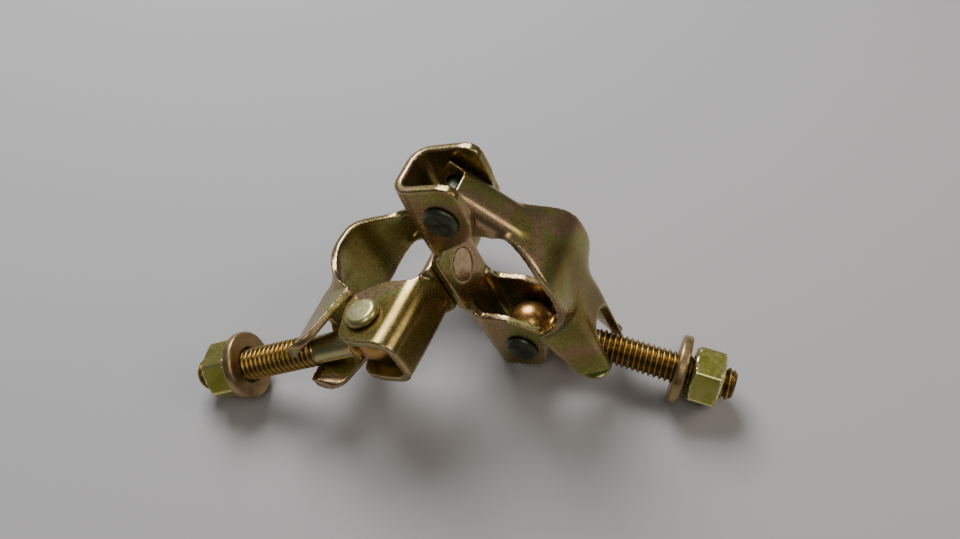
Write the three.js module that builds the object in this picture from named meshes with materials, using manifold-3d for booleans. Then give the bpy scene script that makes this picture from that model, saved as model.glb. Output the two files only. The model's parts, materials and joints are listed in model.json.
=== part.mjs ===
// Fixed right-angle scaffold coupler for two crossing tubes, pressed steel, millimetres, +Z up.
// Two equal clamp halves are riveted back to back, the second turned a quarter turn against the first.
// Each half is a channel-shaped base, a hinged cap, an eye bolt that swings into the cap's fork,
// a washer and a nut, with one rivet through the hinge and one through the bolt's eye.
//
// A half is modelled in its own frame: x runs along the base from the hinge to the bolt, y along the
// clamped tube, z away from the other half, with the origin midway between the two bases.
import * as THREE from "three";
import { mergeVertices } from "three/addons/utils/BufferGeometryUtils.js";
import Module from "manifold-3d";

const wasm = await Module();
wasm.setup();

// ---- Driving dimensions ----
const GAP = 0.3; // between pieces that touch
const TUBE_RADIUS = 48.6 / 2;
const TUBE_FIT = 0.2; // between the tube and the steel around it
const SHEET = 3.2; // thickness of the pressed steel

const CHANNEL_WIDTH = 24; // base, outside to outside of its two flanges
const CHANNEL_BEND = 7.5; // outer radius of the base's bends
const BAND_HALF = 11.6; // half width of the base's flat waist, where it has no flanges
const HINGE_REACH = 35; // hinge pin to the middle of the coupler
const HINGE_HEIGHT = 16.9;
const BOLT_REACH = 35.7; // bolt pin to the middle
const BOLT_HEIGHT = 18.6;
const HINGE_END = 14.3; // from the hinge pin to the end of the channel
const BOLT_END = 11.9; // from the bolt pin to the other end
const END_RISE = 1.8; // how far the web curves away from the other half at its ends
const HINGE_EAR_TOP = 11.2; // ear edge above the hinge pin
const BOLT_EAR_TOP = 12.6; // ear edge above the bolt pin on the tube's side
const BOLT_EAR_SLOPE = 0.27; // how fast that edge falls toward the end
const WAIST_HALF = 17.5; // half length of the waist between the flanges

const CAP_HALF = 20.2; // half width of the cap where it crosses over the tube
const KNUCKLE_HALF = 8.4; // half width of the cap's knuckle, between the base's ears
const KNUCKLE_RADIUS = 8; // round end of each knuckle ear
const KNUCKLE_CREST = 8.6; // outer face of the knuckle from the hinge pin
const KNUCKLE_LIP = 1.5; // the knuckle's web ends this far past the pin
const KNUCKLE_NARROW = 13; // the knuckle keeps its width this far from the pin
const FLARE_END = 44; // and the cap has its full width here
const CAP_LEAVE = 101; // angle round the tube where the crest runs on straight, degrees
const FORK_REACH = 45; // tip of the fork from the middle, cap closed on a tube
const FORK_CREST_HALF = 10.6;
const FORK_EDGE_HALF = 15.9; // half width at the fork's free edges
const FORK_ROOT_DEPTH = 19.4; // depth of its side walls where they leave the tube
const FORK_TIP_DEPTH = 11; // and at the tip
const FORK_TIP_ROUND = 6;
const SLOT_WIDTH = 14.4;
const SLOT_START = 22.3;
const CAP_BEND = 4.6; // outer radius of the cap's bends

const RIVET_SHANK = 9.4;
const RIVET_HOLE = RIVET_SHANK + 2 * GAP;
const RIVET_HEAD = 13.4;
const PAN_HEIGHT = 3.2;
const PEENED_HEIGHT = 2.2;
const CENTRE_SHANK = 10;
const CENTRE_HEAD = 13;

const THREAD = 12.7; // half-inch bolt, over its thread crests
const SHANK = 11; // its smooth shank
const THREAD_START = 26; // from the bolt pin
const BOLT_LENGTH = 81;
const EYE_RADIUS = 9.2;
const EYE_HALF = 8.2; // half thickness of the eye between its flats
const NUT_FLATS = 21;
const NUT_HEIGHT = 11.5;
const WASHER_RADIUS = 13.5;
const WASHER_HEIGHT = 4;
const WASHER_PLACE = 58.2; // inner face of the washer from the bolt pin
const BOLT_CLEAR = 0.4; // round the thread in the washer and the nut

// How each half stands in this state: cap opened, bolt swung outward, nut backed off from its washer.
const HALVES = {
  right: { capOpen: -9.5, boltSwing: 25.2, nutLift: 2.2, nutTurn: 30 },
  left: { capOpen: -11.5, boltSwing: 17, nutLift: 0.3, nutTurn: 0 },
};
const REST_TILT = 21.6; // the coupler leans this far over on its two nuts and one base edge

// ---- Derived places ----
const SADDLE_RADIUS = TUBE_RADIUS + TUBE_FIT;
const CREST_RADIUS = SADDLE_RADIUS + SHEET;
const FACE = GAP / 2; // outer face of the web at the middle
const TUBE_HEIGHT = FACE + SHEET + SADDLE_RADIUS;
const HINGE = new THREE.Vector2(-HINGE_REACH, HINGE_HEIGHT);
const BOLT = new THREE.Vector2(BOLT_REACH, BOLT_HEIGHT);
const TUBE = new THREE.Vector2(0, TUBE_HEIGHT);

const rad = THREE.MathUtils.degToRad;
const polar = (centre, radius, angle) =>
  new THREE.Vector2(centre.x + radius * Math.cos(angle), centre.y + radius * Math.sin(angle));

// ---- Outlines ----

// Points along a polyline of [x, y, radius] corners, each corner replaced by its arc.
function rounded(corners, step) {
  const points = [];
  corners.forEach(([x, y, radius], i) => {
    const here = new THREE.Vector2(x, y);
    if (!radius || i === 0 || i === corners.length - 1) {
      points.push(here);
      return;
    }
    const back = new THREE.Vector2(corners[i - 1][0], corners[i - 1][1]).sub(here).normalize();
    const on = new THREE.Vector2(corners[i + 1][0], corners[i + 1][1]).sub(here).normalize();
    const half = Math.acos(THREE.MathUtils.clamp(back.dot(on), -1, 1)) / 2;
    const centre = here.clone().add(back.clone().add(on).setLength(radius / Math.sin(half)));
    const from = here.clone().addScaledVector(back, radius / Math.tan(half)).sub(centre);
    const turn = Math.sign(from.x * on.y - from.y * on.x) * (Math.PI - 2 * half);
    const count = Math.max(2, Math.ceil(Math.abs(turn) / step));
    for (let k = 0; k <= count; k++) {
      points.push(polar(centre, radius, from.angle() + (turn * k) / count));
    }
  });
  return points;
}

// The same line with no stretch longer than `longest`.
function subdivided(points, longest) {
  const out = [points[0]];
  points.slice(1).forEach((b, i) => {
    const a = points[i];
    const count = Math.max(1, Math.ceil(a.distanceTo(b) / longest));
    for (let k = 1; k <= count; k++) out.push(a.clone().lerp(b, k / count));
  });
  return out;
}

// ---- Solids ----

// One half of a bent sheet's section, from its middle outward, as [outer, inner] pairs of (y, depth):
// flat to `flat`, an arc of outer radius `bend` through `turn`, then a straight wall.
function bentHalf(flat, bend, turn, wall) {
  const ARC_STEPS = 4;
  const pairs = [[new THREE.Vector2(0, 0), new THREE.Vector2(0, SHEET)]];
  for (let k = 0; k <= ARC_STEPS; k++) {
    const a = (turn * k) / ARC_STEPS;
    const out = new THREE.Vector2(Math.sin(a), -Math.cos(a));
    const centre = new THREE.Vector2(flat, bend);
    pairs.push([
      centre.clone().addScaledVector(out, bend),
      centre.clone().addScaledVector(out, bend - SHEET),
    ]);
  }
  const along = new THREE.Vector2(Math.cos(turn), Math.sin(turn)).multiplyScalar(wall);
  const [outer, inner] = pairs[pairs.length - 1];
  pairs.push([outer.clone().add(along), inner.clone().add(along)]);
  return pairs;
}

// A half section whose wall ends with its inner corner at (edge, depth).
function bentTo(flat, bend, edge, depth) {
  let turn = 0;
  let wall = 0;
  for (let pass = 0; pass < 6; pass++) {
    const y = edge - flat + SHEET * Math.sin(turn);
    const z = depth - SHEET * Math.cos(turn) - bend;
    const away = Math.hypot(y, z);
    turn = Math.atan2(z, y) + Math.asin(Math.min(1, bend / away));
    wall = Math.sqrt(Math.max(0, away * away - bend * bend));
  }
  return bentHalf(flat, bend, turn, wall);
}

// A closed sheet body lofted through stations {at, inward, half}: `at` is a point (x, z) of the
// outer face, `inward` the unit direction of the section's depth, `half` its half section.
function sheetLoft(stations) {
  const rings = stations.map(({ at, inward, half }) => {
    const place = (p, side) => [
      at.x + inward.x * p.y,
      side * p.x,
      at.y + inward.y * p.y,
    ];
    const outer = half.map(([o]) => place(o, 1));
    const inner = half.map(([, i]) => place(i, 1));
    const mirroredOuter = half.slice(1).map(([o]) => place(o, -1));
    const mirroredInner = half.slice(1).map(([, i]) => place(i, -1));
    return [
      ...mirroredOuter.reverse(),
      ...outer,
      ...inner.reverse(),
      ...mirroredInner,
    ];
  });
  const size = rings[0].length;
  const across = size / 2;
  const positions = rings.flat(2);
  const faces = [];
  const quad = (a, b, c, d) => faces.push(a, b, c, a, c, d);
  for (let i = 0; i + 1 < rings.length; i++) {
    for (let j = 0; j < size; j++) {
      const k = (j + 1) % size;
      quad(i * size + j, i * size + k, (i + 1) * size + k, (i + 1) * size + j);
    }
  }
  const last = (rings.length - 1) * size;
  for (let j = 0; j + 1 < across; j++) {
    const opposite = size - 1 - j;
    quad(j, opposite, opposite - 1, j + 1);
    quad(last + j, last + j + 1, last + opposite - 1, last + opposite);
  }
  const geometry = new THREE.BufferGeometry();
  geometry.setAttribute("position", new THREE.Float32BufferAttribute(positions, 3));
  geometry.setIndex(faces);
  return geometry;
}

// A three.js geometry as a manifold solid.
function solid(geometry) {
  const bare = geometry.index ? geometry.toNonIndexed() : geometry.clone();
  bare.deleteAttribute("normal");
  bare.deleteAttribute("uv");
  const merged = mergeVertices(bare, 1e-4);
  const vertProperties = new Float32Array(merged.attributes.position.array);
  const triVerts = new Uint32Array(merged.index.array);
  const made = new wasm.Manifold(new wasm.Mesh({ numProp: 3, vertProperties, triVerts }));
  if (made.volume() > 0) return made;
  for (let i = 0; i < triVerts.length; i += 3) {
    [triVerts[i + 1], triVerts[i + 2]] = [triVerts[i + 2], triVerts[i + 1]];
  }
  return new wasm.Manifold(new wasm.Mesh({ numProp: 3, vertProperties, triVerts }));
}

// A manifold solid as a three.js geometry.
function geometryOf(made) {
  const { vertProperties, triVerts } = made.getMesh();
  const geometry = new THREE.BufferGeometry();
  geometry.setAttribute("position", new THREE.Float32BufferAttribute(vertProperties, 3));
  geometry.setIndex(new THREE.Uint32BufferAttribute(triVerts, 1));
  geometry.computeVertexNormals();
  return geometry;
}

// A turned solid: profile points (radius, height) about +Z.
function turned(profile, sides) {
  const points = profile.map(([r, z]) => new THREE.Vector2(r, z));
  return solid(new THREE.LatheGeometry(points, sides).rotateX(Math.PI / 2));
}

// A round bar along Y through (x, z).
function barAcross(diameter, length, at, sides = 24) {
  const bar = new THREE.CylinderGeometry(diameter / 2, diameter / 2, length, sides);
  return solid(bar.translate(at.x, 0, at.y));
}

// ---- Base ----

// Height of the web's outer face: flat where the halves cross, curving away toward the ends.
function webHeight(x) {
  const past = Math.max(0, Math.abs(x) - CHANNEL_WIDTH / 2);
  const length = HINGE_REACH + HINGE_END - CHANNEL_WIDTH / 2;
  return FACE + END_RISE * (past / length) ** 2;
}

// Free edge of the base in side view, from the hinge end to the bolt end.
function baseEdge() {
  const hingeEnd = HINGE.x - HINGE_END;
  const boltEnd = BOLT.x + BOLT_END;
  const hingeTop = HINGE.y + HINGE_EAR_TOP;
  const boltTop = BOLT.y + BOLT_EAR_TOP;
  const waist = FACE + SHEET;
  const earLean = 8.5; // the hinge ear's inner edge leans this far over the waist
  const wallTop = 14; // lower part of the bolt ear's inner edge, nearly upright
  const boltCorner = BOLT.x - 9;
  return rounded(
    [
      [hingeEnd, hingeTop - 6, 0],
      [hingeEnd + 1.5, hingeTop, 4.5],
      [-WAIST_HALF - earLean, hingeTop, 14],
      [-WAIST_HALF, waist, 5],
      [WAIST_HALF, waist, 4],
      [WAIST_HALF + 1.5, waist + wallTop, 8],
      [boltCorner, boltTop + 0.5, 4],
      [boltEnd - 1, boltTop - BOLT_EAR_SLOPE * (boltEnd - boltCorner), 6],
      [boltEnd, BOLT.y - 2, 0],
    ],
    rad(24),
  );
}

function baseSolid() {
  const flat = CHANNEL_WIDTH / 2 - CHANNEL_BEND;
  const stripWall = BAND_HALF - flat;
  const bendArc = (CHANNEL_BEND - SHEET / 2) * (Math.PI / 2);
  const edge = subdivided(baseEdge(), 6);
  const stations = edge.map((point) => {
    const at = new THREE.Vector2(point.x, webHeight(point.x));
    const rise = point.y - at.y;
    // The waist is a flat strip; its edges curl up into the bends just before the flanges begin.
    const curl = THREE.MathUtils.smoothstep(Math.abs(point.x), WAIST_HALF - 5, WAIST_HALF + 1);
    const turn = Math.max(curl * (Math.PI / 2), 1e-3);
    const spent = (CHANNEL_BEND - SHEET / 2) * turn;
    const wall = Math.max(rise - CHANNEL_BEND, stripWall - spent, 0.05 * bendArc);
    return { at, inward: new THREE.Vector2(0, 1), half: bentHalf(flat, CHANNEL_BEND, turn, wall) };
  });
  return solid(sheetLoft(stations))
    .subtract(barAcross(RIVET_HOLE, 2 * CHANNEL_WIDTH, HINGE))
    .subtract(barAcross(RIVET_HOLE, 2 * CHANNEL_WIDTH, BOLT))
    .subtract(turned(centreProfile(GAP), 24));
}

// Profile of the centre rivet, countersunk at both ends and just below the faces that carry the
// tubes. With a clearance it is the hole for that rivet, which runs on past both faces.
function centreProfile(clearance) {
  const cone = 1.3;
  const end = FACE + SHEET - 0.15;
  const shank = CENTRE_SHANK / 2 + clearance;
  const head = CENTRE_HEAD / 2 + clearance;
  const upper = [
    [shank, end - cone],
    [head, end],
  ];
  if (clearance) upper.push([head, end + SHEET]);
  upper.push([0, upper[upper.length - 1][1]]);
  return [...upper.map(([r, z]) => [r, -z]).reverse(), ...upper];
}

// ---- Cap ----

// Direction of the knuckle's crest, tangent to the crest's circle round the tube.
const toHinge = HINGE.clone().sub(TUBE);
const crestAngle =
  toHinge.angle() - Math.acos((CREST_RADIUS - KNUCKLE_CREST) / toHinge.length());
const crestOut = polar(new THREE.Vector2(), 1, crestAngle);
const crestAlong = new THREE.Vector2(crestOut.y, -crestOut.x);

// The fork's crest runs straight on from the circle at CAP_LEAVE.
const forkOut = polar(new THREE.Vector2(), 1, rad(CAP_LEAVE));
const forkAlong = new THREE.Vector2(forkOut.y, -forkOut.x);
const forkStart = TUBE.clone().addScaledVector(forkOut, CREST_RADIUS);

// The crest: the cap's outer face in side view, from the knuckle over the tube to the fork's tip.
function capCrest() {
  const start = HINGE.clone()
    .addScaledVector(crestOut, KNUCKLE_CREST)
    .addScaledVector(crestAlong, -KNUCKLE_RADIUS);
  const half = (crestAngle - rad(CAP_LEAVE)) / 2;
  const over = polar(TUBE, CREST_RADIUS / Math.cos(half), rad(CAP_LEAVE) + half);
  const tip = forkStart.clone().addScaledVector(forkAlong, (FORK_REACH - forkStart.x) / forkAlong.x);
  return rounded(
    [
      [start.x, start.y, 0],
      [over.x, over.y, CREST_RADIUS],
      [tip.x, tip.y, 0],
    ],
    rad(9),
  );
}

// The smaller of two depths, rounded off where they cross.
function softMin(a, b, reach) {
  const mix = Math.max(0, reach - Math.abs(a - b)) / reach;
  return Math.min(a, b) - (mix * mix * reach) / 4;
}

// Depth of the cap's section below its crest at `at`, and half widths of its crest and free edge.
function capSection(at, along, inward) {
  const fromHinge = at.clone().sub(HINGE).dot(crestAlong);
  const toTube = TUBE.clone().sub(at);
  const chord = toTube.dot(along);
  const reach = SADDLE_RADIUS ** 2 - chord ** 2;
  const tubeDepth = reach > 0 ? toTube.dot(inward) - Math.sqrt(reach) : CREST_RADIUS;
  const onFork = at.clone().sub(forkStart).dot(forkAlong);
  if (onFork <= 0) {
    const span = THREE.MathUtils.clamp(Math.abs(fromHinge) / KNUCKLE_RADIUS, 0, 1);
    const ear = KNUCKLE_CREST + KNUCKLE_RADIUS * Math.sqrt(1 - span * span);
    const shoulder = fromHinge > 0 ? KNUCKLE_CREST + KNUCKLE_RADIUS * 0.62 : 0;
    const open = THREE.MathUtils.smoothstep(fromHinge, KNUCKLE_NARROW, FLARE_END);
    return {
      depth: Math.max(SHEET, Math.min(Math.max(ear, shoulder), tubeDepth)),
      edge: KNUCKLE_HALF + (CAP_HALF - KNUCKLE_HALF) * open,
      crest: KNUCKLE_HALF,
    };
  }
  const forkLength = (FORK_REACH - forkStart.x) / forkAlong.x;
  const root = SADDLE_RADIUS;
  const run = (onFork - root) / (forkLength - root);
  const forkDepth = FORK_ROOT_DEPTH + (FORK_TIP_DEPTH - FORK_ROOT_DEPTH) * run;
  const fork = THREE.MathUtils.smoothstep(onFork, 2, root);
  const beyond = Math.max(0, onFork - (forkLength - FORK_TIP_ROUND));
  const tip = FORK_TIP_ROUND - Math.sqrt(Math.max(0, FORK_TIP_ROUND ** 2 - beyond ** 2));
  return {
    depth: Math.max(SHEET, softMin(tubeDepth, forkDepth, 3) - tip),
    edge: CAP_HALF + (FORK_EDGE_HALF - CAP_HALF) * fork,
    crest: KNUCKLE_HALF + (FORK_CREST_HALF - KNUCKLE_HALF) * fork,
  };
}

function capSolid() {
  const line = subdivided(capCrest(), 4);
  const stations = line.map((at, i) => {
    const before = line[Math.max(0, i - 1)];
    const after = line[Math.min(line.length - 1, i + 1)];
    const along = after.clone().sub(before).normalize();
    const inward = new THREE.Vector2(along.y, -along.x);
    const { depth, edge, crest } = capSection(at, along, inward);
    return { at, inward, half: bentTo(crest - CAP_BEND, CAP_BEND, edge - SHEET, depth) };
  });
  const height = 12; // of the cutter, centred on the fork's crest
  const slotLength = FORK_REACH - SLOT_START;
  const slot = new THREE.BoxGeometry(slotLength + SLOT_WIDTH, SLOT_WIDTH, height);
  slot.translate(slotLength / 2 + SLOT_WIDTH, 0, 0);
  const slotEnd = new THREE.CylinderGeometry(SLOT_WIDTH / 2, SLOT_WIDTH / 2, height, 24);
  slotEnd.rotateX(Math.PI / 2).translate(SLOT_WIDTH / 2, 0, 0);
  const slotAt = forkStart.clone().addScaledVector(forkAlong, SLOT_START - forkStart.x);
  for (const cutter of [slot, slotEnd]) {
    cutter.rotateY(-forkAlong.angle()).translate(slotAt.x, 0, slotAt.y);
  }
  const lip = new THREE.BoxGeometry(KNUCKLE_RADIUS * 2, 2 * (KNUCKLE_HALF - SHEET), 40);
  lip.translate(-KNUCKLE_LIP - KNUCKLE_RADIUS, 0, 0);
  lip.rotateY(-crestAlong.angle()).translate(HINGE.x, 0, HINGE.y);
  return solid(sheetLoft(stations))
    .subtract(solid(slot).add(solid(slotEnd)))
    .subtract(solid(lip))
    .subtract(barAcross(RIVET_HOLE, 2 * CHANNEL_WIDTH, HINGE));
}

// ---- Turned pieces ----

// A rivet along Y: factory pan head at +y, hammered head at -y.
function rivetSolid() {
  const face = CHANNEL_WIDTH / 2 + GAP;
  const shank = RIVET_SHANK / 2;
  const head = RIVET_HEAD / 2;
  return turned(
    [
      [0, -face - PEENED_HEIGHT],
      [0.45 * head, -face - PEENED_HEIGHT],
      [0.82 * head, -face - 0.72 * PEENED_HEIGHT],
      [head, -face - 0.2 * PEENED_HEIGHT],
      [head, -face],
      [shank, -face],
      [shank, face],
      [head, face],
      [head, face + 0.55 * PAN_HEIGHT],
      [0.85 * head, face + 0.88 * PAN_HEIGHT],
      [0.6 * head, face + PAN_HEIGHT],
      [0, face + PAN_HEIGHT],
    ],
    24,
  ).rotate([-90, 0, 0]);
}

// An eye bolt about +Z with its eye at the origin, the eye's hole along Y.
function boltSolid() {
  const chamfer = 1.6;
  const neck = SHANK / 2;
  const profile = [[0, -EYE_RADIUS]];
  for (let a = -75; a <= 50; a += 12.5) {
    profile.push([EYE_RADIUS * Math.cos(rad(a)), EYE_RADIUS * Math.sin(rad(a))]);
  }
  profile.push(
    [neck + 1, EYE_RADIUS * Math.sin(rad(50)) + 1],
    [neck, EYE_RADIUS + 1],
    [neck, THREAD_START - 1],
    [THREAD / 2, THREAD_START],
    [THREAD / 2, BOLT_LENGTH - chamfer],
    [THREAD / 2 - chamfer, BOLT_LENGTH],
    [0, BOLT_LENGTH],
  );
  const flats = new THREE.BoxGeometry(4 * EYE_RADIUS, 2 * EYE_HALF, 3 * BOLT_LENGTH);
  return turned(profile, 24)
    .intersect(solid(flats))
    .subtract(barAcross(RIVET_HOLE, 4 * EYE_HALF, new THREE.Vector2()));
}

// A washer about +Z from z = 0 up, its rim rounded.
function washerSolid() {
  const bore = THREAD / 2 + BOLT_CLEAR;
  const round = 1.4;
  return turned(
    [
      [bore, 0],
      [WASHER_RADIUS - round, 0],
      [WASHER_RADIUS - 0.3 * round, 0.3 * round],
      [WASHER_RADIUS, round],
      [WASHER_RADIUS, WASHER_HEIGHT - round],
      [WASHER_RADIUS - 0.3 * round, WASHER_HEIGHT - 0.3 * round],
      [WASHER_RADIUS - round, WASHER_HEIGHT],
      [bore, WASHER_HEIGHT],
      [bore, 0],
    ],
    32,
  );
}

// A hexagon nut about +Z from z = 0 up, chamfered at both ends.
function nutSolid() {
  const corner = NUT_FLATS / Math.sqrt(3);
  const drop = 1.4; // height of the chamfer at the corners
  const crown = turned(
    [
      [0, 0],
      [corner - 2 * drop, 0],
      [corner, drop],
      [corner, NUT_HEIGHT - drop],
      [corner - 2 * drop, NUT_HEIGHT],
      [0, NUT_HEIGHT],
    ],
    36,
  );
  const hexagon = new THREE.CylinderGeometry(corner, corner, NUT_HEIGHT, 6);
  hexagon.rotateX(Math.PI / 2).translate(0, 0, NUT_HEIGHT / 2);
  const bore = new THREE.CylinderGeometry(THREAD / 2 + BOLT_CLEAR, THREAD / 2 + BOLT_CLEAR, 60, 24);
  return crown.intersect(solid(hexagon)).subtract(solid(bore.rotateX(Math.PI / 2)));
}

// ---- Materials ----

const steel = (color, roughness) =>
  new THREE.MeshStandardMaterial({ color, roughness, metalness: 0.9 });
const chromate = () => steel(0xb3a45e, 0.38);
const greenChromate = () => steel(0xa6ad55, 0.34);
const darkRivet = () => steel(0x53564c, 0.5);
const copperBolt = () => steel(0xa8703c, 0.4);
const brownWasher = () => steel(0x7d6a48, 0.48);

function mesh(name, geometry, material) {
  const made = new THREE.Mesh(geometry, material);
  made.name = name;
  return made;
}

// ---- Assembly ----

const shapes = {
  base: geometryOf(baseSolid()),
  cap: geometryOf(capSolid()),
  rivet: geometryOf(rivetSolid()),
  bolt: geometryOf(boltSolid()),
  washer: geometryOf(washerSolid()),
  nut: geometryOf(nutSolid()),
};

// Something placed at a pin, turned about the pin's axis by `angle` degrees.
function atPin(pin, angle) {
  const group = new THREE.Group();
  group.position.set(pin.x, 0, pin.y);
  group.rotation.y = rad(angle);
  return group;
}

function clampHalf(side, { capOpen, boltSwing, nutLift, nutTurn }) {
  const half = new THREE.Group();
  half.add(mesh(`base_${side}`, shapes.base, chromate()));

  const hinge = atPin(HINGE, -capOpen);
  const cap = mesh(`cap_${side}`, shapes.cap, chromate());
  cap.position.set(-HINGE.x, 0, -HINGE.y);
  hinge.add(cap);

  const swing = atPin(BOLT, boltSwing);
  const washer = mesh(`washer_${side}`, shapes.washer, brownWasher());
  washer.position.z = WASHER_PLACE;
  const nut = mesh(`nut_${side}`, shapes.nut, greenChromate());
  nut.position.z = WASHER_PLACE + WASHER_HEIGHT + nutLift;
  nut.rotation.z = rad(nutTurn);
  swing.add(mesh(`eye_bolt_${side}`, shapes.bolt, copperBolt()), washer, nut);

  for (const [name, pin] of [["hinge", HINGE], ["bolt", BOLT]]) {
    const rivet = mesh(`${name}_rivet_${side}`, shapes.rivet, darkRivet());
    rivet.position.set(pin.x, 0, pin.y);
    half.add(rivet);
  }
  half.add(hinge, swing);
  return half;
}

// The right half's tube runs along Y and its clamp opens to +X; the left half's tube runs along Z.
const right = clampHalf("right", HALVES.right);
right.setRotationFromMatrix(
  new THREE.Matrix4().makeBasis(
    new THREE.Vector3(0, 0, -1),
    new THREE.Vector3(0, 1, 0),
    new THREE.Vector3(1, 0, 0),
  ),
);
const left = clampHalf("left", HALVES.left);
left.setRotationFromMatrix(
  new THREE.Matrix4().makeBasis(
    new THREE.Vector3(0, -1, 0),
    new THREE.Vector3(0, 0, 1),
    new THREE.Vector3(-1, 0, 0),
  ),
);
const centreRivet = mesh(
  "centre_rivet",
  geometryOf(turned(centreProfile(0), 24).rotate([0, 90, 0])),
  darkRivet(),
);

const coupler = new THREE.Group();
coupler.add(right, left, centreRivet);

// Standing: leant over about the right tube's axis, then moved so that the middle of its box is on
// the Z axis and its lowest point on the ground.
coupler.rotation.y = -rad(REST_TILT);
coupler.updateMatrixWorld(true);
const box = new THREE.Box3().setFromObject(coupler, true);
const middle = box.getCenter(new THREE.Vector3());
coupler.position.set(-middle.x, -middle.y, -box.min.z);

const group = new THREE.Group();
group.add(coupler);

export default group;
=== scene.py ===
# %% [markdown]
# # A right-angle scaffold coupler
# Scaffolders join two crossing tubes with this fitting. Two pressed steel clamps are riveted back
# to back, a quarter turn apart. Each clamp has a channel-shaped base, a hinged cap that closes over
# the tube, and an eye bolt that swings into the cap's fork and pulls it tight with a nut.
# All of it is zinc plated and dipped in a yellow chromate, which gives the shifting gold, green and
# pink colours. This file loads the fixed engineering model first. It then makes a finer surface
# for every piece, gives each its finish, and lights the result.

import json
import math

import bpy
import numpy as np
from mathutils import Matrix, Vector


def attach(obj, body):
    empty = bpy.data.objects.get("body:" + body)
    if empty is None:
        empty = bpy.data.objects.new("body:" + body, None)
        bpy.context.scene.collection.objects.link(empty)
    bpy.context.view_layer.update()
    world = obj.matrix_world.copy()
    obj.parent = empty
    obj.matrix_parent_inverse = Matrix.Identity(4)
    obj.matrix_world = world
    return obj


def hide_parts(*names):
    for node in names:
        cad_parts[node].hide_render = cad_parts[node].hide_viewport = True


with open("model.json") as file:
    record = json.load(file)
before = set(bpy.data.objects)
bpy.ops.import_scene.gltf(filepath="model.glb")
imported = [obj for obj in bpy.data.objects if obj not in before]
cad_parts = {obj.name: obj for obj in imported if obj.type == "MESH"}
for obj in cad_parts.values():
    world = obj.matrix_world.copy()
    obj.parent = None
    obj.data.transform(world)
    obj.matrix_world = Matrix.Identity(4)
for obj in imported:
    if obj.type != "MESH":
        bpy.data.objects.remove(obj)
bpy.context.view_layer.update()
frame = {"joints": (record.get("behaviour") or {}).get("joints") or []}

# %% [markdown]
# ## Where the two clamps stand
# Both clamps are the same pressing, so every shape is worked out once, in the clamp's own frame:
# x from the hinge to the bolt, y along the tube and z away from the other clamp. It could be typed
# in as two matrices, but the joints already say where each hinge pin and bolt pin is, so the
# matrices are worked out from those. That way the fine pieces can't drift from the real pivots.

# %% The clamp's own sizes, in millimetres
SHEET = 3.2  # thickness of the steel
TUBE_RADIUS = 24.3
HINGE_PIN = np.array([-35.0, 16.9])  # (x, z) in the clamp's frame
BOLT_PIN = np.array([35.7, 18.6])
CAP_OPENING = {"right": -9.5, "left": -11.5}  # degrees from closed on a tube
BOLT_SWING = {"right": 25.2, "left": 17.0}  # degrees out from upright
NUT_GAP = {"right": 2.2, "left": 0.3}  # between the washer and the nut
NUT_TURN = {"right": 30.0, "left": 0.0}  # degrees round the bolt
WASHER_PLACE = 58.2  # from the bolt pin
WASHER_HEIGHT = 4.0

# %% The place of each clamp, from its joints
joints = {joint["name"]: joint for joint in frame["joints"]}


def turn_about_y(degrees):
    """A 4 by 4 matrix that turns x towards minus z about the y axis by the given angle."""
    c, s = math.cos(math.radians(degrees)), math.sin(math.radians(degrees))
    return np.array([[c, 0, s, 0], [0, 1, 0, 0], [-s, 0, c, 0], [0, 0, 0, 1.0]])


def shift(x, y, z):
    """A 4 by 4 matrix that moves by (x, y, z)."""
    made = np.eye(4)
    made[:3, 3] = x, y, z
    return made


def clamp_place(side):
    """The clamp's frame in the world: y is the cap's hinge axis reversed, and x is the line from
    pin to pin, turned back by the small angle that this line makes with x in the clamp's frame."""
    hinge = joints[f"cap_{side}_hinge"]
    along_tube = -np.array(hinge["axis"], float)
    along_tube /= np.linalg.norm(along_tube)
    pin_to_pin = np.array(joints[f"bolt_{side}_swing"]["pos_m"]) - np.array(hinge["pos_m"])
    pin_to_pin /= np.linalg.norm(pin_to_pin)
    sideways = np.cross(pin_to_pin, along_tube)
    lean = math.atan2(*(BOLT_PIN - HINGE_PIN)[::-1])
    x = math.cos(lean) * pin_to_pin - math.sin(lean) * sideways
    z = np.cross(x, along_tube)
    made = np.eye(4)
    made[:3, 0], made[:3, 1], made[:3, 2] = x, along_tube, z
    made[:3, 3] = np.array(hinge["pos_m"]) * 1000 - made[:3, :3] @ [HINGE_PIN[0], 0, HINGE_PIN[1]]
    return made


OWN_FRAME = np.eye(4)  # a shape made here stays in the clamp's own frame
clamps = {side: clamp_place(side) for side in ("right", "left")}
for side, place in clamps.items():
    print(side, "clamp's middle, mm:", place[:3, 3].round(2), "tube along", place[:3, 1].round(3))


def at_pin(side, pin, degrees):
    """The frame of something that turns about a pin of one clamp."""
    return clamps[side] @ shift(pin[0], 0, pin[1]) @ turn_about_y(degrees)


# %% [markdown]
# ## Turning arrays of points into meshes
# Every surface here is a grid of points: rings, one after another, each with the same number of
# points. Joining each point to its neighbours gives quads. A mesh could also be grown from
# primitives and modifiers, but a grid keeps the real formula of the shape in view. The points are
# in millimetres in the clamp's frame, and one place turns them into metres in the world.


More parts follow.
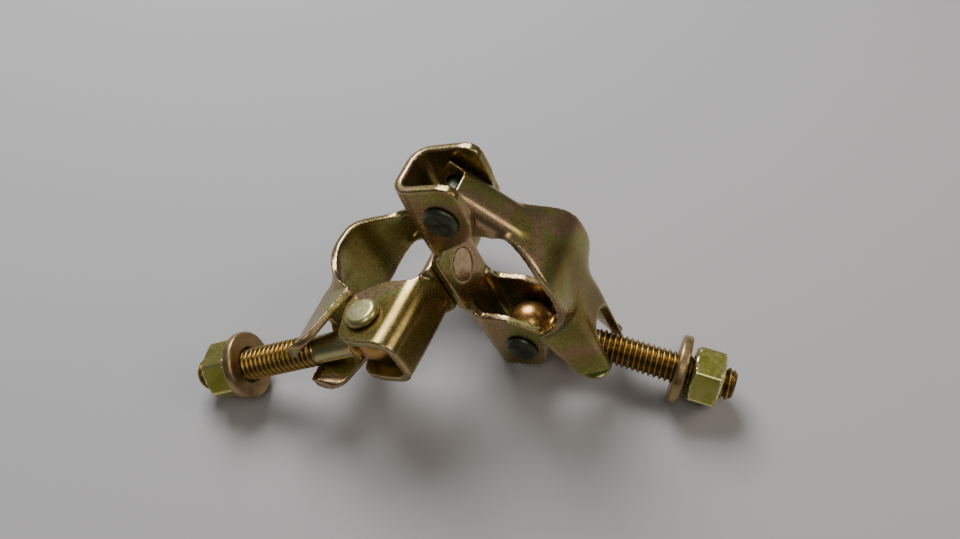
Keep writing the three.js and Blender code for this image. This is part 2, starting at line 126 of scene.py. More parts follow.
# %% A mesh from rings of points
def skin(name, rings, place, loop=False):
    """A closed mesh from points[ring, around, xyz]. Neighbouring rings are joined with quads. With
    loop the last ring meets the first; otherwise each end is closed with one flat face. Faces are
    turned outward if the enclosed volume comes out negative."""
    count, around = rings.shape[:2]
    index = np.arange(count * around).reshape(count, around)
    a = index if loop else index[:-1]
    b = np.roll(index, -1, 0) if loop else index[1:]
    quads = np.stack([a, np.roll(a, -1, 1), np.roll(b, -1, 1), b], -1).reshape(-1, 4)
    points = rings.reshape(-1, 3) @ place[:3, :3].T + place[:3, 3]
    faces = quads.tolist()
    if not loop:
        faces += [index[0][::-1].tolist(), index[-1].tolist()]
    mesh = bpy.data.meshes.new(name)
    mesh.from_pydata((points / 1000).tolist(), [], faces)
    corners = points[quads] - points.mean(0)
    first = np.cross(corners[:, 1] - corners[:, 0], corners[:, 2] - corners[:, 0])
    second = np.cross(corners[:, 2] - corners[:, 0], corners[:, 3] - corners[:, 0])
    if np.einsum("ij,ij->", corners[:, 0], first + second) < 0:
        mesh.flip_normals()
    made = bpy.data.objects.new(name, mesh)
    bpy.context.scene.collection.objects.link(made)
    return made


def revolve(profile, sides):
    """Rings from a profile of (radius, height): each profile point becomes a circle about z."""
    profile = np.asarray(profile, float)
    angle = np.linspace(0, 2 * np.pi, sides, endpoint=False)
    radius = np.maximum(profile[:, :1], 0.02)
    return np.stack(
        [radius * np.cos(angle), radius * np.sin(angle), profile[:, 1:] + 0 * angle], -1
    )


def soften(corners, radius, steps=4):
    """A profile of straight lines with its inner corners rounded. Each corner becomes a quadratic
    arc: it starts and ends up to `radius` along its two lines and bends toward the corner."""
    corners = np.asarray(corners, float)
    before, here, after = corners[:-2], corners[1:-1], corners[2:]
    to_before, to_after = before - here, after - here
    long_before = np.linalg.norm(to_before, axis=1, keepdims=True)
    long_after = np.linalg.norm(to_after, axis=1, keepdims=True)
    reach = np.minimum(radius, 0.45 * np.minimum(long_before, long_after))
    start = here + to_before / long_before * reach
    end = here + to_after / long_after * reach
    t = np.linspace(0, 1, steps)[None, :, None]
    arcs = (1 - t) ** 2 * start[:, None] + 2 * t * (1 - t) * here[:, None] + t**2 * end[:, None]
    return np.concatenate([corners[:1], arcs.reshape(-1, 2), corners[-1:]])


def finished_mesh(piece):
    """Applies a piece's modifiers, so that it keeps only plain mesh data."""
    evaluated = piece.evaluated_get(bpy.context.evaluated_depsgraph_get())
    made = bpy.data.meshes.new_from_object(evaluated)
    piece.modifiers.clear()
    piece.data = made


def cut(piece, cutters):
    """Takes each cutter's shape out of the piece and removes the cutter."""
    for cutter in cutters:
        modifier = piece.modifiers.new("cut", "BOOLEAN")
        modifier.operation = "DIFFERENCE"
        modifier.solver = "EXACT"
        modifier.object = cutter
    bpy.context.view_layer.update()
    finished_mesh(piece)
    for cutter in cutters:
        bpy.data.objects.remove(cutter)


RIVET_HOLE = 10.0
DRILL_HALF = 30.0  # longer than any piece is wide


def rivet_drill(pin, place):
    """A round bar along y through a pin, which drills a rivet's hole."""
    rings = revolve([(RIVET_HOLE / 2, -DRILL_HALF), (RIVET_HOLE / 2, DRILL_HALF)], 48)
    turned = rings[..., [0, 2, 1]] + [pin[0], 0, pin[1]]
    return skin("drill", turned, place)


# %% [markdown]
# ## Sheared and pressed steel
# The bases and caps are 3.2 mm sheet, sheared to an outline and bent in a press. A plain solid has
# knife-sharp edges, which real sheet never has: shearing and tumbling round them by about half a
# millimetre. A bevel modifier could do that, but it breaks up where drilled holes meet curved
# bends. A voxel remesh with light smoothing rounds every edge alike, whatever shape it follows.

# %% Soft edges, and how sharp each place is
VOXEL = 0.00052  # metres, about the radius that a sheared edge keeps
SHARPEST = 0.00005  # metres that a vertex on a sharp edge stands out from its neighbours
POLE_GAP = 0.00003  # metres: points closer than this at a pole are merged
FEWEST_FACES = 20000  # a cut piece with fewer has lost its body


def press_finish(piece):
    """Remeshes a sheet body evenly, smooths it a little, and stores `edge` on each vertex: how far
    the vertex stands out from the middle of its neighbours along its normal, from 0 to 1."""
    remesh = piece.modifiers.new("even", "REMESH")
    remesh.mode = "VOXEL"
    remesh.voxel_size = VOXEL
    smooth = piece.modifiers.new("soft", "SMOOTH")
    smooth.factor = 0.5
    smooth.iterations = 5
    bpy.context.view_layer.update()
    finished_mesh(piece)
    mesh = piece.data
    store_edge(mesh)
    mesh.shade_smooth()
    print(f"{piece.name}: {len(mesh.polygons)} faces")
    if len(mesh.polygons) < FEWEST_FACES:
        raise RuntimeError(f"{piece.name} lost its body when it was cut")


def placed_copy(name, pattern, place):
    """A copy of a pattern's mesh, moved from the clamp's frame to its place in the world. Both
    clamps use the same pressing, so each shape is cut only once."""
    metres = place.copy()
    metres[:3, 3] /= 1000
    mesh = pattern.data.copy()
    mesh.name = name
    mesh.transform(Matrix(metres.tolist()))
    made = bpy.data.objects.new(name, mesh)
    bpy.context.scene.collection.objects.link(made)
    return made


def store_edge(mesh, rounds=3):
    """Works out `edge`: the step from each vertex to its neighbours' mean, along the normal,
    averaged over the neighbours a few times and scaled by the spacing of the vertices."""
    count = len(mesh.vertices)
    points, normals = np.empty(count * 3), np.empty(count * 3)
    mesh.vertices.foreach_get("co", points)
    mesh.vertices.foreach_get("normal", normals)
    points, normals = points.reshape(-1, 3), normals.reshape(-1, 3)
    pairs = np.empty(len(mesh.edges) * 2, int)
    mesh.edges.foreach_get("vertices", pairs)
    a, b = pairs.reshape(-1, 2).T
    degree = np.bincount(np.concatenate([a, b]), minlength=count).clip(1)

    def neighbour_mean(values):
        total = np.bincount(a, values[b], count) + np.bincount(b, values[a], count)
        return total / degree

    mean = np.stack([neighbour_mean(points[:, k]) for k in range(3)], -1)
    out = np.einsum("ij,ij->i", points - mean, normals)
    for _ in range(rounds):
        out = neighbour_mean(out)
    edge = np.clip(out / SHARPEST, 0, 1)
    layer = mesh.attributes.get("edge") or mesh.attributes.new("edge", "FLOAT", "POINT")
    layer.data.foreach_set("value", edge.astype(np.float32))


# %% [markdown]
# ## The section of a bent sheet
# Along a base or a cap the section is always the same kind of line: flat, then a bend, then a
# straight wall. Only its sizes change along the way, so the whole piece is a loft of that one
# section. The wall's end could be set by its angle, but what a press tool fixes is where the free
# edge lands, so the angle is solved from that point.


# %% Half a section, and the wall that ends at a given point
def bent_half(flat, bend, turn, wall, steps=9):
    """Outer and inner lines of half a section, (station, point, (y, depth)): straight to `flat`,
    an arc of outer radius `bend` through the angle `turn`, and a straight wall of length `wall`."""
    flat, turn, wall = (np.broadcast_to(v, np.shape(turn)) for v in (flat, turn, wall))
    t = np.linspace(0, 1, steps)
    lines = []
    for inset in (0.0, SHEET):
        straight = np.stack([flat[:, None] * t, np.full((len(turn), steps), inset)], -1)
        angle = turn[:, None] * t[1:]
        radius = bend - inset
        arc = np.stack(
            [flat[:, None] + radius * np.sin(angle), bend - radius * np.cos(angle)], -1
        )
        way = np.stack([np.cos(turn), np.sin(turn)], -1)[:, None] * wall[:, None, None]
        side = arc[:, -1:] + way * t[1:, None]
        lines.append(np.concatenate([straight, arc, side], 1))
    return lines


def bent_to(flat, bend, edge, depth):
    """The bend's angle and the wall's length for a wall whose inner corner ends at (edge, depth),
    found by repeating the tangent construction from that point to the bend's circle."""
    turn = np.zeros_like(edge)
    for _ in range(6):
        y = edge - flat + SHEET * np.sin(turn)
        z = depth - SHEET * np.cos(turn) - bend
        away = np.hypot(y, z)
        turn = np.arctan2(z, y) + np.arcsin(np.minimum(1, bend / away))
        wall = np.sqrt(np.maximum(0, away**2 - bend**2))
    return turn, wall


def sheet_rings(at, inward, outer, inner):
    """Rings round a sheet: the outer line from one free edge to the other, and the inner line
    back. `at` is the outer face's middle at each station and `inward` the section's depth."""

    def placed(line, side):
        x = at[:, None, 0] + inward[:, None, 0] * line[..., 1]
        z = at[:, None, 1] + inward[:, None, 1] * line[..., 1]
        return np.stack([x, side * line[..., 0], z], -1)

    return np.concatenate(
        [
            placed(outer[:, :0:-1], -1),
            placed(outer, 1),
            placed(inner[:, ::-1], 1),
            placed(inner[:, 1:], -1),
        ],
        1,
    )


# %% Outlines with round corners
def rounded_line(corners, spacing):
    """Points along a line of (x, z, radius) corners. Each corner is replaced by the arc of that
    radius that touches both of its lines, and the whole is respaced evenly."""
    points = [np.array(corners[0][:2])[None]]
    for (bx, bz, _), (x, z, radius), (ax, az, _) in zip(corners, corners[1:], corners[2:]):
        here = np.array([x, z])
        back, on = np.array([bx, bz]) - here, np.array([ax, az]) - here
        back, on = back / np.linalg.norm(back), on / np.linalg.norm(on)
        half = math.acos(np.clip(back @ on, -1, 1)) / 2
        middle = (back + on) / np.linalg.norm(back + on)
        centre = here + middle * radius / math.sin(half)
        start = here + back * radius / math.tan(half) - centre
        way = math.copysign(math.pi - 2 * half, start[0] * on[1] - start[1] * on[0])
        angle = math.atan2(start[1], start[0]) + way * np.linspace(0, 1, 24)
        points.append(centre + radius * np.stack([np.cos(angle), np.sin(angle)], -1))
    line = np.concatenate(points + [np.array(corners[-1][:2])[None]])
    length = np.concatenate([[0], np.cumsum(np.linalg.norm(np.diff(line, axis=0), axis=1))])
    even = np.linspace(0, length[-1], int(length[-1] / spacing))
    return np.stack([np.interp(even, length, line[:, k]) for k in (0, 1)], -1)


def smooth_step(value, low, high):
    """0 below low, 1 above high, and an S-shaped rise between them."""
    t = np.clip((value - low) / (high - low), 0, 1)
    return t * t * (3 - 2 * t)


# %% [markdown]
# ## The bases
# A base is a channel whose two flanges stop at the waist, where the tube lies, and stand up as ears
# round the hinge pin and the bolt pin. The press leaves generous bends. Lofting follows the free
# edge in side view from one end to the other, so the loft's stations crowd where the ears rise.

# %% The base's surface
CHANNEL_WIDTH, CHANNEL_BEND, BAND_HALF, WAIST_HALF = 24.0, 7.5, 11.6, 17.5
WEB_FACE = 0.15  # the web's outer face, from the middle between the two clamps
HINGE_END, BOLT_END, END_RISE = 14.3, 11.9, 1.8


def base_rings():
    """Each station stands on the web, whose outer face curves away toward the ends by the square
    of the distance, and its wall reaches up to the free edge. At the waist the bend unrolls flat."""
    hinge_end, hinge_top = HINGE_PIN[0] - HINGE_END, HINGE_PIN[1] + 11.2
    bolt_end, bolt_top = BOLT_PIN[0] + BOLT_END, BOLT_PIN[1] + 12.6
    waist, corner = WEB_FACE + SHEET, BOLT_PIN[0] - 9
    edge = rounded_line(
        [
            (hinge_end, hinge_top - 6, 0),
            (hinge_end + 1.5, hinge_top, 4.5),
            (-WAIST_HALF - 8.5, hinge_top, 14),
            (-WAIST_HALF, waist, 5),
            (WAIST_HALF, waist, 4),
            (WAIST_HALF + 1.5, waist + 14, 8),
            (corner, bolt_top + 0.5, 4),
            (bolt_end - 1, bolt_top - 0.27 * (bolt_end - corner), 6),
            (bolt_end, BOLT_PIN[1] - 2, 0),
        ],
        0.9,
    )
    x = edge[:, 0]
    past = np.maximum(0, np.abs(x) - CHANNEL_WIDTH / 2)
    full = -HINGE_PIN[0] + HINGE_END - CHANNEL_WIDTH / 2
    web = WEB_FACE + END_RISE * (past / full) ** 2
    flat = CHANNEL_WIDTH / 2 - CHANNEL_BEND
    turn = np.maximum(smooth_step(np.abs(x), WAIST_HALF - 5, WAIST_HALF + 1) * np.pi / 2, 1e-3)
    spent = (CHANNEL_BEND - SHEET / 2) * turn
    wall = np.maximum(np.maximum(edge[:, 1] - web - CHANNEL_BEND, BAND_HALF - flat - spent), 0.3)
    outer, inner = bent_half(flat, CHANNEL_BEND, turn, wall)
    at = np.stack([x, web], -1)
    return sheet_rings(at, np.tile([0.0, 1.0], (len(x), 1)), outer, inner)


def base_pattern():
    """The channel, with a hole for each pin and a countersunk one at the waist."""
    piece = skin("base_pattern", base_rings(), OWN_FRAME)
    sink = revolve([(5.3, -9), (5.3, 1.9), (6.8, 3.2), (6.8, 12)], 48)
    cut(
        piece,
        [
            rivet_drill(HINGE_PIN, OWN_FRAME),
            rivet_drill(BOLT_PIN, OWN_FRAME),
            skin("countersink", sink, OWN_FRAME),
        ],
    )
    press_finish(piece)
    return piece


def place_base(pattern, side):
    """A copy of the pressed base on one clamp."""
    piece = placed_copy(f"pressed_base_{side}", pattern, clamps[side])
    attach(piece, "bases")
    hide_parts(f"base_{side}")
    return piece


pattern = base_pattern()
bases = [place_base(pattern, side) for side in ("right", "left")]
bpy.data.objects.remove(pattern)

# %% [markdown]
# ## The caps
# A cap starts as a narrow knuckle curled round the hinge rivet. It flares out like a trumpet into a
# wide band over the tube, and runs on straight into a fork whose slot takes the bolt. The band
# could be a plain ring, but then the flare and the fork would be glued on. Instead the same bent
# section runs the whole way, and three sizes change along it: crest width, edge width and depth.

# %% The cap's line and how its section changes
CAP_BEND, KNUCKLE_HALF, KNUCKLE_RADIUS, KNUCKLE_CREST = 4.6, 8.4, 8.0, 8.6
CAP_HALF, FORK_REACH, FORK_TIP_ROUND = 20.2, 45.0, 6.0
SADDLE_RADIUS = TUBE_RADIUS + 0.2
CREST_RADIUS = SADDLE_RADIUS + SHEET
TUBE_MIDDLE = np.array([0.0, WEB_FACE + SHEET + SADDLE_RADIUS])


def direction(angle):
    """The unit vector at an angle in the xz plane."""
    return np.array([math.cos(angle), math.sin(angle)])


to_hinge = HINGE_PIN - TUBE_MIDDLE
crest_angle = math.atan2(to_hinge[1], to_hinge[0]) - math.acos(
    (CREST_RADIUS - KNUCKLE_CREST) / np.linalg.norm(to_hinge)
)
leave_angle = math.radians(101)  # where the crest leaves the circle and runs straight on
crest_out, fork_out = direction(crest_angle), direction(leave_angle)
crest_along = np.array([crest_out[1], -crest_out[0]])
fork_along = np.array([fork_out[1], -fork_out[0]])
fork_start = TUBE_MIDDLE + CREST_RADIUS * fork_out
fork_length = (FORK_REACH - fork_start[0]) / fork_along[0]
print("fork runs straight for", round(fork_length, 1), "mm")


def cap_rings():
    """The crest is a straight, an arc round the tube and a straight. Each station's depth is the
    least of what the knuckle's ear, the tube and the fork's sloping edge allow."""
    start = HINGE_PIN + crest_out * KNUCKLE_CREST - crest_along * KNUCKLE_RADIUS
    half = (crest_angle - leave_angle) / 2
    over = TUBE_MIDDLE + direction(leave_angle + half) * CREST_RADIUS / math.cos(half)
    tip = fork_start + fork_along * fork_length
    at = rounded_line([(*start, 0), (*over, CREST_RADIUS), (*tip, 0)], 0.8)
    along = np.gradient(at, axis=0)
    along /= np.linalg.norm(along, axis=1, keepdims=True)
    inward = np.stack([along[:, 1], -along[:, 0]], -1)
    from_hinge = (at - HINGE_PIN) @ crest_along
    to_tube = TUBE_MIDDLE - at
    chord = np.einsum("ij,ij->i", to_tube, along)
    reach = SADDLE_RADIUS**2 - chord**2
    rise = np.einsum("ij,ij->i", to_tube, inward) - np.sqrt(np.maximum(reach, 0))
    tube_depth = np.where(reach > 0, rise, CREST_RADIUS)
    on_fork = (at - fork_start) @ fork_along
    span = np.clip(np.abs(from_hinge) / KNUCKLE_RADIUS, 0, 1)
    ear = KNUCKLE_CREST + KNUCKLE_RADIUS * np.sqrt(1 - span**2)
    shoulder = np.where(from_hinge > 0, KNUCKLE_CREST + KNUCKLE_RADIUS * 0.62, 0)
    band_depth = np.minimum(np.maximum(ear, shoulder), tube_depth)
    run = (on_fork - SADDLE_RADIUS) / (fork_length - SADDLE_RADIUS)
    fork_depth = 19.4 + (11.0 - 19.4) * run
    mix = np.maximum(0, 3 - np.abs(tube_depth - fork_depth)) / 3
    both = np.minimum(tube_depth, fork_depth) - mix**2 * 0.75
    beyond = np.clip(on_fork - (fork_length - FORK_TIP_ROUND), 0, FORK_TIP_ROUND)
    round_off = FORK_TIP_ROUND - np.sqrt(FORK_TIP_ROUND**2 - beyond**2)
    depth = np.maximum(SHEET, np.where(on_fork > 0, both - round_off, band_depth))
    flare = smooth_step(from_hinge, 13, 44)
    fork = smooth_step(on_fork, 2, SADDLE_RADIUS)
    edge = KNUCKLE_HALF + (CAP_HALF - KNUCKLE_HALF) * flare + (15.9 - CAP_HALF) * fork
    crest = KNUCKLE_HALF + (10.6 - KNUCKLE_HALF) * fork
    turn, wall = bent_to(crest - CAP_BEND, CAP_BEND, edge - SHEET, depth)
    outer, inner = bent_half(crest - CAP_BEND, CAP_BEND, turn, wall)
    return sheet_rings(at, inward, outer, inner)


# %% The fork's slot and the knuckle's open web
def box_rings(x, y, z):
    """A box as two square rings, from its limits along x, y and z."""
    corner = np.array([[x[0], y[0]], [x[1], y[0]], [x[1], y[1]], [x[0], y[1]]])
    return np.stack([np.column_stack([corner, np.full(4, height)]) for height in z])


def cap_pattern():
    """The bent sheet with a slot that ends in a half circle, the knuckle's web cut back near
    the pin so that it can turn, and the hole for the hinge rivet."""
    piece = skin("cap_pattern", cap_rings(), OWN_FRAME)
    width, slot_start = 14.4, 22.3
    slot_at = fork_start + fork_along * (slot_start - fork_start[0])
    lean = math.degrees(math.atan2(fork_along[1], fork_along[0]))
    slot_place = shift(slot_at[0], 0, slot_at[1]) @ turn_about_y(-lean)
    round_root = revolve([(width / 2, -7), (width / 2, 7)], 64) + [width / 2, 0, 0]
    lean = math.degrees(math.atan2(crest_along[1], crest_along[0]))
    lip_place = shift(HINGE_PIN[0], 0, HINGE_PIN[1]) @ turn_about_y(-lean)
    inside = KNUCKLE_HALF - SHEET
    cut(
        piece,
        [
            skin("slot", box_rings((width / 2, 45), (-width / 2, width / 2), (-7, 7)), slot_place),
            skin("slot_root", round_root, slot_place),
            skin("lip", box_rings((-24, -1.5), (-inside, inside), (-25, 25)), lip_place),
            rivet_drill(HINGE_PIN, OWN_FRAME),
        ],
    )
    press_finish(piece)
    return piece


def place_cap(pattern, side):
    """A copy of the pressed cap, turned about its hinge pin to where it stands."""
    place = at_pin(side, HINGE_PIN, -CAP_OPENING[side]) @ shift(-HINGE_PIN[0], 0, -HINGE_PIN[1])
    piece = placed_copy(f"pressed_cap_{side}", pattern, place)
    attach(piece, f"cap_{side}")
    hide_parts(f"cap_{side}")
    return piece


pattern = cap_pattern()
caps = [place_cap(pattern, side) for side in ("right", "left")]
bpy.data.objects.remove(pattern)

# %% [markdown]
# ## The rivets
# The factory side of a rivet is a smooth pan head. The other side is hammered over, so it is low,
# wide and uneven. Both are turned profiles. Hammer marks could be a texture, but they change the
# outline at this size, so they are real dents: a few soft hollows at fixed places on the head.

# %% A rivet's surface
CHANNEL_FACE = CHANNEL_WIDTH / 2 + 0.3


def rivet_rings():
    """The profile runs from the hammered head at -z, along the shank, to the pan head at +z.
    Each dent lowers the hammered face by a bell curve of the distance from the dent's middle."""
    face, shank, head, pan, low = CHANNEL_FACE, 4.7, 6.7, 3.2, 2.2
    hammered = [(r * head, -face - low * (1 - 0.25 * r**2)) for r in np.linspace(0, 0.8, 14)]
    profile = soften(
        hammered
        + [(head * 0.95, -face - 0.45 * low), (head, -face), (shank, -face), (shank, face)]
        + [(head, face), (head, face + 0.55 * pan), (0.8 * head, face + pan), (0, face + pan)],
        1.1,
        6,
    )
    rings = revolve(profile, 96)
    x, y, z = rings[..., 0], rings[..., 1], rings[..., 2]
    dents = [(1.6, 0.9, 2.0, 0.5), (-2.2, 1.8, 1.5, 0.35), (-0.4, -2.6, 1.8, 0.45)]
    below = smooth_step(-z, face, face + 0.5 * low)
    for dent_x, dent_y, size, deep in dents:
        away = (x - dent_x) ** 2 + (y - dent_y) ** 2
        z = z + below * deep * np.exp(-away / size**2)
    rings[..., 2] = z
    return rings


def make_rivet(node, side, pin):
    """The rivet's z lies along the clamp's y, with the pan head at +y."""
    rings = rivet_rings()[..., [1, 2, 0]]
    piece = skin(f"worked_{node}", rings, clamps[side] @ shift(pin[0], 0, pin[1]))
    finish_turned(piece)
    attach(piece, "bases")
    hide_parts(node)
    return piece


def finish_turned(piece, angle=40):
    """Merges the poles of a turned piece, stores its sharp places and shades it smooth."""
    weld = piece.modifiers.new("poles", "WELD")
    weld.merge_threshold = POLE_GAP
    bpy.context.view_layer.update()
    finished_mesh(piece)
    store_edge(piece.data, rounds=1)
    piece.data.shade_smooth()
    piece.data.set_sharp_from_angle(angle=math.radians(angle))
    print(f"{piece.name}: {len(piece.data.polygons)} faces")


rivets = [
    make_rivet("hinge_rivet_right", "right", HINGE_PIN),
    make_rivet("bolt_rivet_right", "right", BOLT_PIN),
    make_rivet("hinge_rivet_left", "left", HINGE_PIN),
]
yellow_rivet = make_rivet("bolt_rivet_left", "left", BOLT_PIN)

# %% The countersunk rivet between the clamps
end = WEB_FACE + SHEET - 0.15
half_profile = [(5.0, 0.0), (5.0, end - 1.3), (6.5, end - 0.25), (6.3, end), (0.0, end)]
profile = [(r, -z) for r, z in half_profile[:0:-1]] + half_profile[1:]
centre = skin("worked_centre_rivet", revolve(soften(profile, 0.3), 72), clamps["right"])
finish_turned(centre)
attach(centre, "bases")
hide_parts("centre_rivet")

# %% [markdown]
# ## The eye bolts
# An eye bolt is forged: a ball flattened on two sides, a small collar, a smooth shank, and a rolled
# half-inch thread with twelve turns to the inch. A thread can be faked with rings, but rings have
# no lead and look wrong at both ends. Here the radius depends on height and angle together, so
# the crest climbs 2.12 mm in every turn.

# %% The bolt's surface
LEAD = 25.4 / 12
THREAD_CREST, THREAD_ROOT, SHANK_RADIUS = 6.3, 5.25, 5.5
THREAD_FROM, BOLT_END_AT, EYE_RADIUS, EYE_HALF = 26.0, 81.0, 9.2, 8.2


def bolt_rings():
    """Head: a sphere cut at two flats. Shank: a plain cylinder with a collar. Thread: root radius
    plus a clipped triangle wave of (height over lead minus angle over a full turn), faded in at
    the shank and cut by a cone at the tip."""
    around = 96
    tilt = np.radians(np.linspace(-90, 50, 40))
    head = np.stack([EYE_RADIUS * np.cos(tilt), EYE_RADIUS * np.sin(tilt)], -1)
    neck = soften([head[-1], (6.9, 8.0), (6.7, 9.2), (5.5, 10.3), (5.5, 13.0)], 0.8)
    plain = np.stack([np.full(20, SHANK_RADIUS), np.linspace(13.5, THREAD_FROM - 0.6, 20)], -1)
    smooth = revolve(np.concatenate([head, neck[1:], plain]), around)
    smooth[..., 1] = np.clip(smooth[..., 1], -EYE_HALF, EYE_HALF)
    height = np.arange(THREAD_FROM - 0.4, BOLT_END_AT, LEAD / 14)[:, None]
    angle = np.linspace(0, 2 * np.pi, around, endpoint=False)
    wave = 1 - np.abs(2 * np.mod(height / LEAD - angle / (2 * np.pi), 1) - 1)
    profile = np.clip((wave - 0.14) / 0.7, 0, 1)
    radius = THREAD_ROOT + (THREAD_CREST - THREAD_ROOT) * profile
    entry = smooth_step(height, THREAD_FROM - 0.4, THREAD_FROM + 2.4)
    radius = SHANK_RADIUS + (radius - SHANK_RADIUS) * entry
    radius = np.minimum(radius, THREAD_CREST - 1.5 + (BOLT_END_AT - height) * 0.9)
    thread = np.stack(
        [radius * np.cos(angle), radius * np.sin(angle), height + 0 * angle], -1
    )
    tip = revolve([(4.75, BOLT_END_AT), (3.0, BOLT_END_AT), (0, BOLT_END_AT)], around)
    return np.concatenate([smooth, thread, tip])


def make_bolt(side):
    """The bolt stands in its swung frame, with the rivet's hole drilled through the eye. `along`
    is the distance from the pin in millimetres, which the finish uses for its colour zones."""
    place = at_pin(side, BOLT_PIN, BOLT_SWING[side])
    piece = skin(f"forged_eye_bolt_{side}", bolt_rings(), place)
    weld = piece.modifiers.new("pole", "WELD")
    weld.merge_threshold = POLE_GAP
    cut(piece, [rivet_drill((0, 0), place)])
    count = len(piece.data.vertices)
    points = np.empty(count * 3)
    piece.data.vertices.foreach_get("co", points)
    along = (points.reshape(-1, 3) * 1000 - place[:3, 3]) @ place[:3, 2]
    across = (points.reshape(-1, 3) * 1000 - place[:3, 3]) - along[:, None] * place[:3, 2]
    for label, values in (("along", along), ("height", np.linalg.norm(across, axis=1))):
        layer = piece.data.attributes.new(label, "FLOAT", "POINT")
        layer.data.foreach_set("value", values.astype(np.float32))
    store_edge(piece.data, rounds=1)
    piece.data.shade_smooth()
    piece.data.set_sharp_from_angle(angle=math.radians(55))
    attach(piece, f"bolt_{side}")
    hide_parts(f"eye_bolt_{side}")
    print(f"{piece.name}: {count} points")
    return piece


bolts = [make_bolt(side) for side in ("right", "left")]

# %% [markdown]
# ## Washers and nuts
# The washer is thick, with a rolled rim. The nut is a hexagon cut by a cone at each end, which
# leaves a curved chamfer on each corner. A cylinder with six sides and a bevel would miss that
# curve. Here each point's radius is the lesser of the hexagon's and the cone's, so the curve
# comes by itself.


# %% A washer's surface
def make_washer(side):
    """A closed profile of bore, faces and round rim, turned about the bolt's axis."""
    place = at_pin(side, BOLT_PIN, BOLT_SWING[side]) @ shift(0, 0, WASHER_PLACE)
    bore, rim, height = 6.8, 13.45, WASHER_HEIGHT
    loop = [(10, 0), (rim, 0), (rim, height), (bore, height), (bore, 0), (10, 0)]
    rings = revolve(soften(loop, 1.3, 8)[:-1], 96)
    piece = skin(f"rolled_washer_{side}", rings, place, loop=True)
    finish_turned(piece)
    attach(piece, f"washer_{side}")
    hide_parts(f"washer_{side}")
    return piece


washers = [make_washer(side) for side in ("right", "left")]


# %% A nut's surface
def make_nut(side):
    """Radius = the hexagon's distance along each direction, held to a circle just inside its
    corners, and cut by the chamfer cone at both ends."""
    lift = WASHER_PLACE + WASHER_HEIGHT + NUT_GAP[side]
    place = at_pin(side, BOLT_PIN, BOLT_SWING[side]) @ shift(0, 0, lift)
    half_flats, height, bore, around = 10.5, 11.5, 6.8, 240
    corner = half_flats / math.cos(math.pi / 6)
    angle = np.linspace(0, 2 * np.pi, around, endpoint=False)
    # A hexagon's sides lie half_flats away, each facing a multiple of 60 degrees from 0.
    facing = np.mod(angle + math.pi / 6, math.pi / 3) - math.pi / 6
    hexagon = half_flats / np.cos(facing)
    hexagon = np.minimum(hexagon, corner - 0.25)
    up = np.linspace(0, 1, 30)
    side_height = height * up
    cone = corner - 2.6 + 2.0 * np.minimum(side_height, height - side_height)
    wall_radius = np.minimum(hexagon[None], cone[:, None])
    lift_in = np.linspace(0, 1, 8)[:, None]
    inner = bore + 0.7
    bottom = inner + (wall_radius[0] - inner) * lift_in
    top = inner + (wall_radius[-1] - inner) * lift_in[::-1]
    chamfer_top, hole, chamfer_low = (np.full((1, around), bore) for _ in range(3))
    radius = np.concatenate([bottom, wall_radius[1:-1], top, chamfer_top, hole, chamfer_low])
    z = np.concatenate(
        [
            np.zeros(8),
            side_height[1:-1],
            np.full(8, height),
            [height - 0.7, height / 2, 0.7],
        ]
    )[:, None]
    turned_by = math.pi / 2 + math.radians(NUT_TURN[side])  # where a flat faces
    rings = np.stack(
        [
            radius * np.cos(angle + turned_by),
            radius * np.sin(angle + turned_by),
            z + 0 * angle,
        ],
        -1,
    )
    piece = skin(f"hexagon_nut_{side}", rings, place, loop=True)
    finish_turned(piece, 22)
    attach(piece, f"nut_{side}")
    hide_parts(f"nut_{side}")
    return piece


nuts = [make_nut(side) for side in ("right", "left")]

# %% [markdown]
# ## Yellow chromate on zinc
# Zinc plate dipped in a chromate bath grows a film a few hundred nanometres thick. Its thickness
# varies over centimetres as the bath drains, and light waves cancel in it, so the colour wanders
# from olive through gold to pink and green. A thin-film shader could do that, but the drift over
# the surface matters more than the angle, so soft noise picks the colour. Finer noise
# gives the mottling of the zinc crystals, and edges are paler where the film has rubbed off.


# %% Colours and one way to add a node
def linear(hex_colour):
    """A hex sRGB colour as linear RGBA: the sRGB curve undone channel by channel."""
    srgb = np.array([int(hex_colour[i : i + 2], 16) for i in (0, 2, 4)]) / 255
    value = np.where(srgb <= 0.04045, srgb / 12.92, ((srgb + 0.055) / 1.055) ** 2.4)
    return (*value.tolist(), 1.0)


def add(tree, kind, settings=None, inputs=None, **links):
    """Adds a node with its settings, input values by name or number, and links into it."""
    node = tree.nodes.new(kind)
    for key, value in (settings or {}).items():
        setattr(node, key, value)
    for key, value in (inputs or {}).items():
        node.inputs[key].default_value = value
    for key, source in links.items():
        tree.links.new(source, node.inputs[int(key[1:]) if key[1:].isdigit() else key])
    return node


def ramp(node, stops):
    """Sets a colour ramp's stops from (place, hex colour)."""
    band = node.color_ramp
    while len(band.elements) < len(stops):
        band.elements.new(0.5)
    for element, (place, colour) in zip(band.elements, stops):
        element.position, element.color = place, linear(colour)


